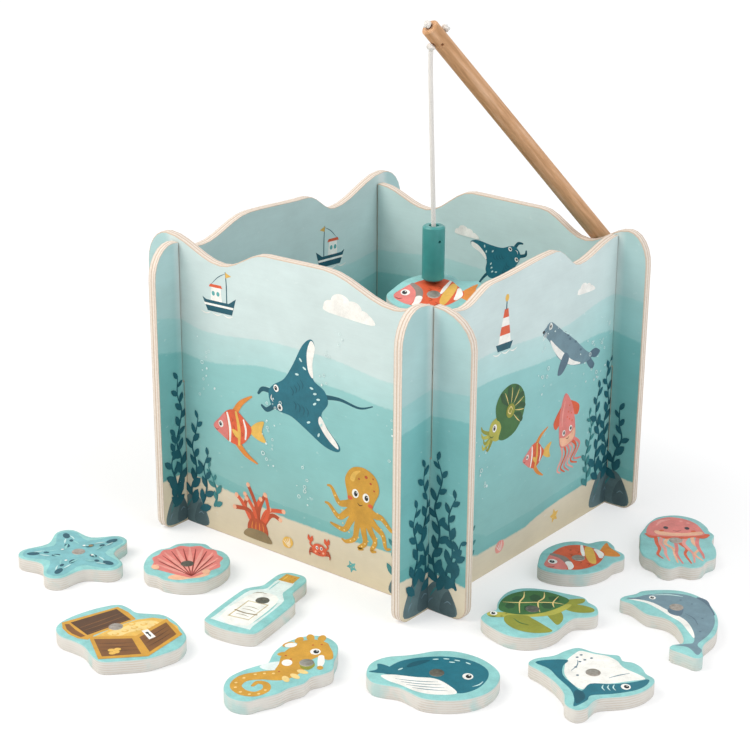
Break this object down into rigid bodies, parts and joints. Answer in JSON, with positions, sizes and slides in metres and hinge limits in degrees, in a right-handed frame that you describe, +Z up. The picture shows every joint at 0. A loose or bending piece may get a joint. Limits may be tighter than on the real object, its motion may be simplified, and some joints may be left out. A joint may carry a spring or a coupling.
{
  "type": "magnetic fishing game",
  "caption": "Wooden magnetic fishing game: a slotted printed ply tank, a rod with a magnetic lure on a string, and flat sea catch pieces with steel discs.",
  "frame": {"origin": "middle of the front wall's foot, on the floor, at the middle of that wall's thickness", "axes": "+Z up, +Y from the front wall towards the back wall, +X towards the right wall"},
  "size_m": [0.4033, 0.4065, 0.3375],
  "materials": {
    "printed_wall_ply": "matt sea print on plywood, bare ply edges",
    "printed_catch_ply": "satin sea print on plywood, whitewashed sides",
    "beech_rod": "fine sanded and oiled beech",
    "cotton_string": "undyed twisted cotton",
    "painted_lure": "satin paint on turned wood",
    "steel_disc": "satin",
    "magnet": "dull plated"
  },
  "bodies": {
    "root": {"front_wall": "printed_wall_ply", "right_wall": "printed_wall_ply", "back_wall": "printed_wall_ply", "left_wall": "printed_wall_ply", "rod": "beech_rod", "tip_knots": "cotton_string", "string": "cotton_string", "lure": "painted_lure", "lure_knot": "cotton_string", "lure_magnet": "magnet", "caught_fish": "printed_catch_ply", "starfish": "printed_catch_ply", "shell": "printed_catch_ply", "chest": "printed_catch_ply", "bottle": "printed_catch_ply", "seahorse": "printed_catch_ply", "whale": "printed_catch_ply", "shark": "printed_catch_ply", "turtle": "printed_catch_ply", "fish": "printed_catch_ply", "jellyfish": "printed_catch_ply", "dolphin": "printed_catch_ply", "caught_fish_disc": "steel_disc", "starfish_disc": "steel_disc", "shell_disc": "steel_disc", "chest_disc": "steel_disc", "bottle_disc": "steel_disc", "seahorse_disc": "steel_disc", "whale_disc": "steel_disc", "shark_disc": "steel_disc", "turtle_disc": "steel_disc", "fish_disc": "steel_disc", "jellyfish_disc": "steel_disc", "dolphin_disc": "steel_disc"}
  },
  "joints": []
}
